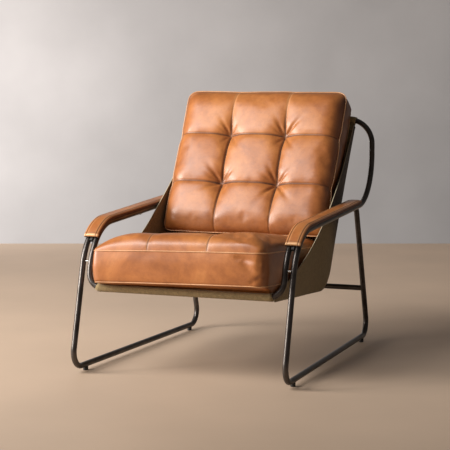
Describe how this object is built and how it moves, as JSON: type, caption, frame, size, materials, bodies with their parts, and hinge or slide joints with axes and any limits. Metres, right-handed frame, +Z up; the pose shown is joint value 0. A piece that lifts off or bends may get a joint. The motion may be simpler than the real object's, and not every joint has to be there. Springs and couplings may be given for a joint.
{
  "type": "upholstered armchair",
  "caption": "Lounge armchair with a bent tube frame, a canvas sling, loose tan leather seat and tufted back cushions and leather arm pads.",
  "frame": {"origin": "on the floor, under the middle of the frame's width and depth", "axes": "+Z up, -Y towards the front of the chair, +X towards the sitter's left"},
  "size_m": [0.7478, 0.9879, 0.8971],
  "materials": {
    "tube_paint": "satin dark bronze paint",
    "bare_steel": "bare steel",
    "black_plastic": "matte black",
    "tan_leather": "waxed cognac tan leather",
    "canvas": "olive brown woven canvas",
    "foam": "pale upholstery foam"
  },
  "bodies": {
    "root": {"arm_clips": "tube_paint", "arm_core_left": "black_plastic", "arm_core_right": "black_plastic", "arm_foam_left": "foam", "arm_foam_right": "foam", "arm_pad_left": "tan_leather", "arm_pad_right": "tan_leather", "arm_screws": "bare_steel", "back_cushion": "tan_leather", "back_foam": "foam", "front_rail": "tube_paint", "front_rail_spigot_left": "tube_paint", "front_rail_spigot_right": "tube_paint", "glide_front_left": "black_plastic", "glide_front_right": "black_plastic", "glide_rear_left": "black_plastic", "glide_rear_right": "black_plastic", "inner_tube_left": "tube_paint", "inner_tube_right": "tube_paint", "outer_tube_left": "tube_paint", "outer_tube_right": "tube_paint", "rail_set_screws": "bare_steel", "rear_stretcher": "tube_paint", "runner_sleeve_left": "tube_paint", "runner_sleeve_right": "tube_paint", "seat_cushion": "tan_leather", "seat_foam": "foam", "sling_back": "canvas", "sling_seat": "canvas", "sling_side_left": "canvas", "sling_side_right": "canvas", "spacer_pin_left": "bare_steel", "spacer_pin_right": "bare_steel", "top_rail": "tube_paint", "top_rail_spigot_left": "tube_paint", "top_rail_spigot_right": "tube_paint"}
  },
  "joints": []
}
